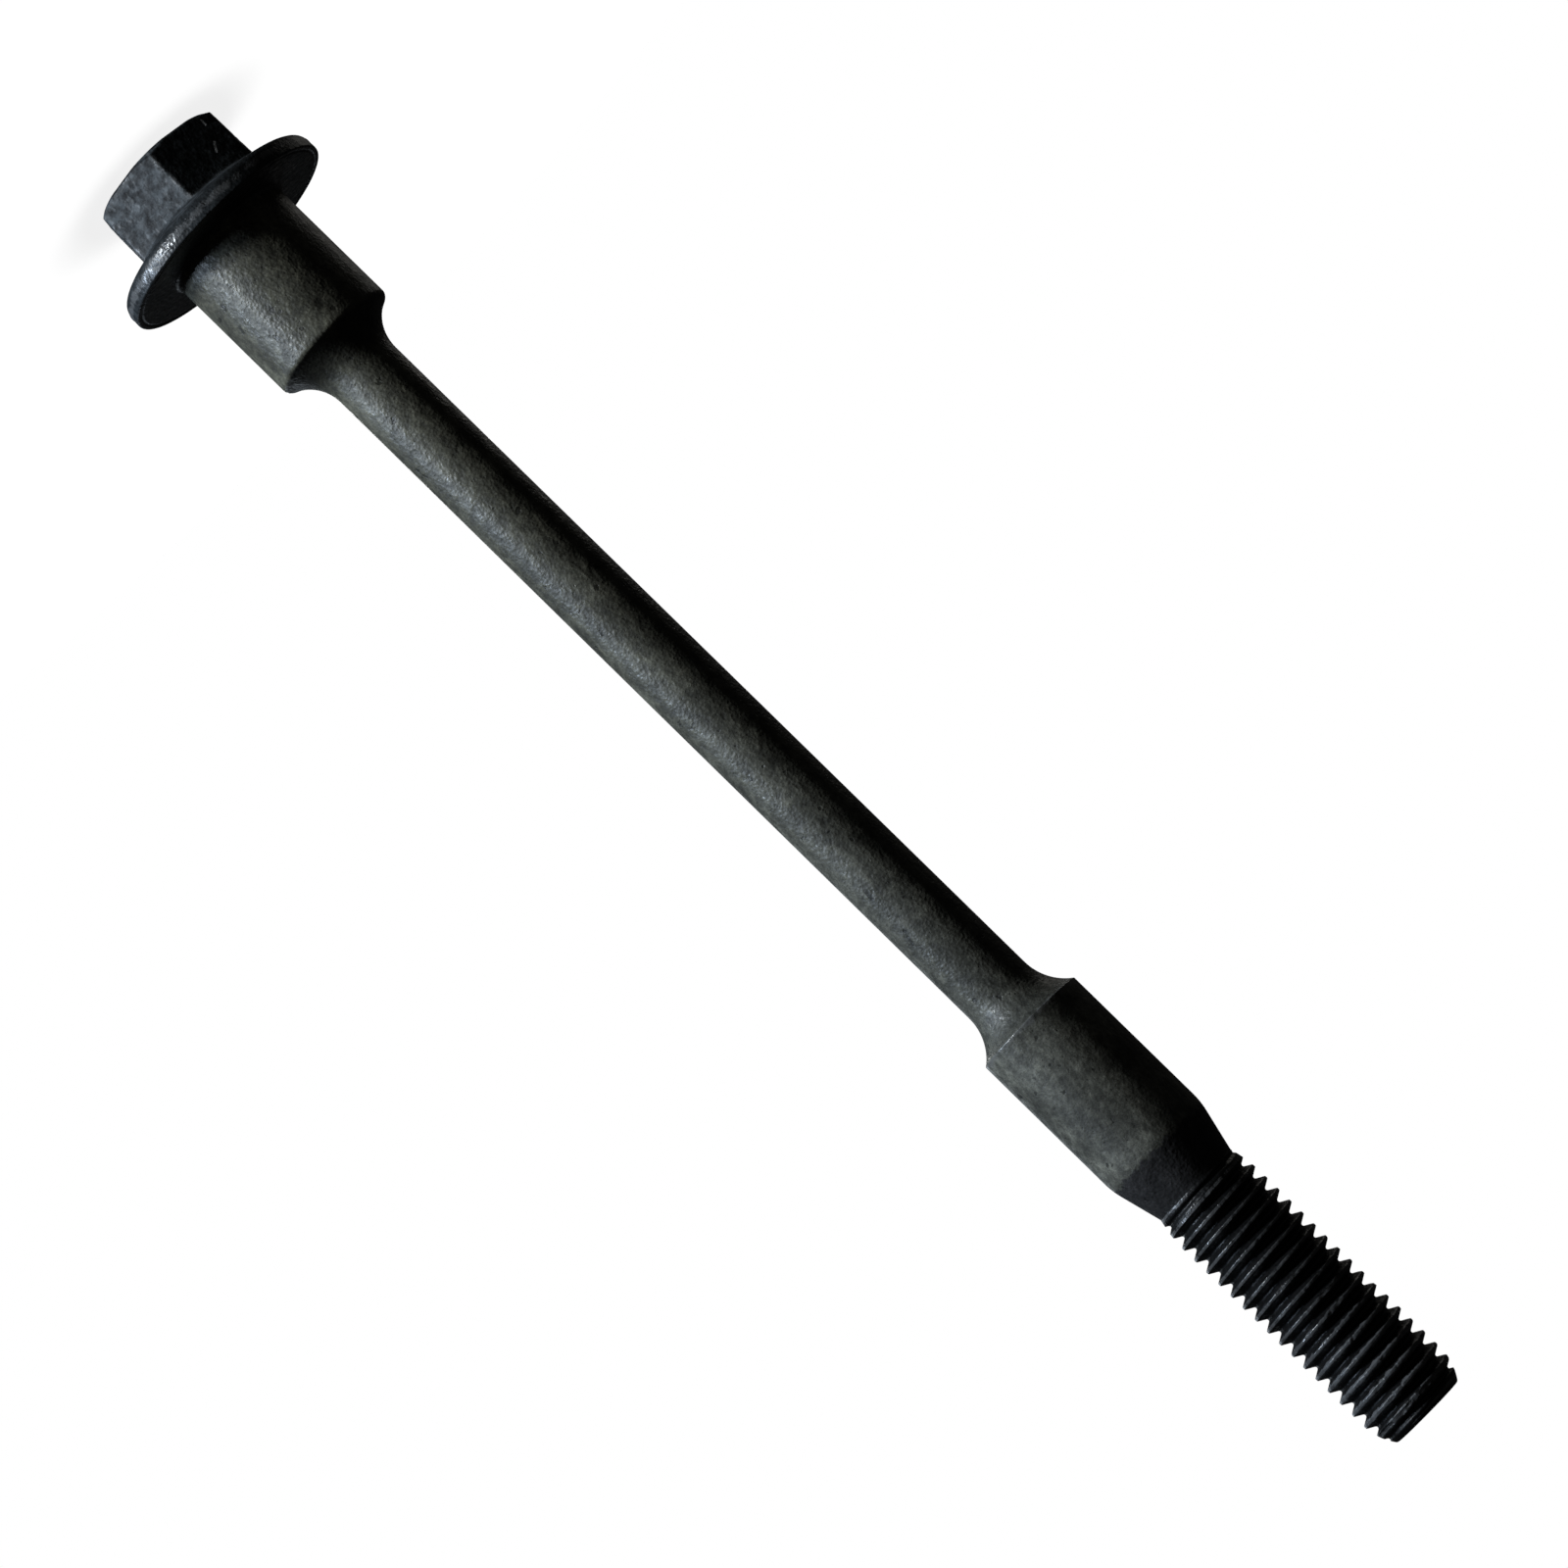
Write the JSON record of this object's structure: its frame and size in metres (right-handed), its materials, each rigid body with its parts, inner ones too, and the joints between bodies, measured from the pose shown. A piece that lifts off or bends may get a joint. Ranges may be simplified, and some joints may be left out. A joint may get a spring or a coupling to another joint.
{
  "type": "oil pump bolt",
  "caption": "Long one-piece flange bolt with a hexagon head, stepped pilots, a waisted shank and a rolled thread, for clamping an oil pump to an engine.",
  "frame": {"origin": "centre of the head's flat top, on which the bolt stands", "axes": "+Z along the bolt's axis from the head to the thread's point; +X square to one flat of the hexagon; -Y towards one of its corners"},
  "size_m": [0.023, 0.023, 0.1617],
  "materials": {
    "phosphated_steel": "black phosphate over steel, dry and finely grained, a little rubbed on edges and thread crests"
  },
  "bodies": {
    "root": {"bolt": "phosphated_steel"}
  },
  "joints": []
}
